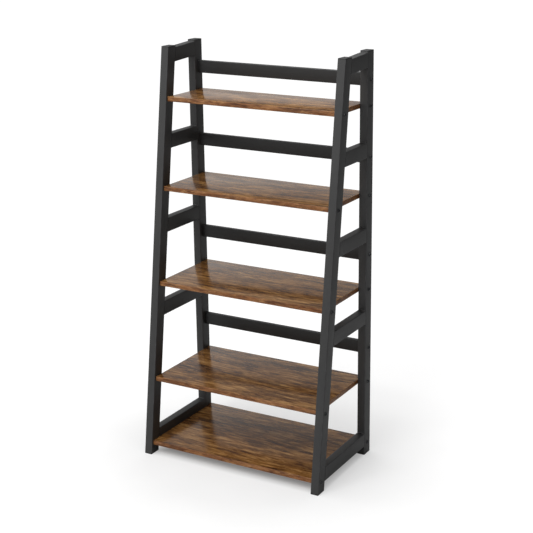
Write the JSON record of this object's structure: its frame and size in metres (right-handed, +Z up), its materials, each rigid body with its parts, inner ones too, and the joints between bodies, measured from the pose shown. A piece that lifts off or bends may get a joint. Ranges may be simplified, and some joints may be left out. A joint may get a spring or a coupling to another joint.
{
  "type": "ladder shelf",
  "caption": "Free-standing ladder shelf: leaning steel side frames, wooden boards that deepen towards the floor, and flat steel rails across the back.",
  "frame": {"origin": "on the floor, half way across the width and half way along the depth at the feet", "axes": "+X to the right seen from the front, +Y towards the back rails, +Z up"},
  "size_m": [0.6072, 0.353, 1.243],
  "materials": {
    "frame": "satin charcoal powder coat with a faint fine texture",
    "shelf_wood": "rustic brown wood-grain laminate, satin",
    "plastic": "black moulded plastic, matt",
    "bolt": "black oxide steel, satin"
  },
  "bodies": {
    "root": {"leg_front_left": "frame", "foot_front_left": "plastic", "top_cap_front_left": "plastic", "leg_rear_left": "frame", "foot_rear_left": "plastic", "top_cap_rear_left": "plastic", "leg_front_right": "frame", "foot_front_right": "plastic", "top_cap_front_right": "plastic", "leg_rear_right": "frame", "foot_rear_right": "plastic", "top_cap_rear_right": "plastic", "side_rail_left_top": "frame", "side_rail_left_upper": "frame", "side_rail_left_middle": "frame", "side_rail_left_lower": "frame", "side_rail_left_bottom": "frame", "side_rail_right_top": "frame", "side_rail_right_upper": "frame", "side_rail_right_middle": "frame", "side_rail_right_lower": "frame", "side_rail_right_bottom": "frame", "shelf_top": "shelf_wood", "shelf_upper": "shelf_wood", "shelf_middle": "shelf_wood", "shelf_lower": "shelf_wood", "shelf_bottom": "shelf_wood", "back_rail_top": "frame", "back_rail_upper": "frame", "back_rail_middle": "frame", "back_rail_lower": "frame", "shelf_bolt_front_left_top": "bolt", "shelf_bolt_rear_left_top": "bolt", "shelf_bolt_front_left_upper": "bolt", "shelf_bolt_rear_left_upper": "bolt", "shelf_bolt_front_left_middle": "bolt", "shelf_bolt_rear_left_middle": "bolt", "shelf_bolt_front_left_lower": "bolt", "shelf_bolt_rear_left_lower": "bolt", "shelf_bolt_front_left_bottom": "bolt", "shelf_bolt_rear_left_bottom": "bolt", "rail_bolt_left_top": "bolt", "rail_bolt_left_upper": "bolt", "rail_bolt_left_middle": "bolt", "rail_bolt_left_lower": "bolt", "shelf_bolt_front_right_top": "bolt", "shelf_bolt_rear_right_top": "bolt", "shelf_bolt_front_right_upper": "bolt", "shelf_bolt_rear_right_upper": "bolt", "shelf_bolt_front_right_middle": "bolt", "shelf_bolt_rear_right_middle": "bolt", "shelf_bolt_front_right_lower": "bolt", "shelf_bolt_rear_right_lower": "bolt", "shelf_bolt_front_right_bottom": "bolt", "shelf_bolt_rear_right_bottom": "bolt", "rail_bolt_right_top": "bolt", "rail_bolt_right_upper": "bolt", "rail_bolt_right_middle": "bolt", "rail_bolt_right_lower": "bolt"}
  },
  "joints": []
}
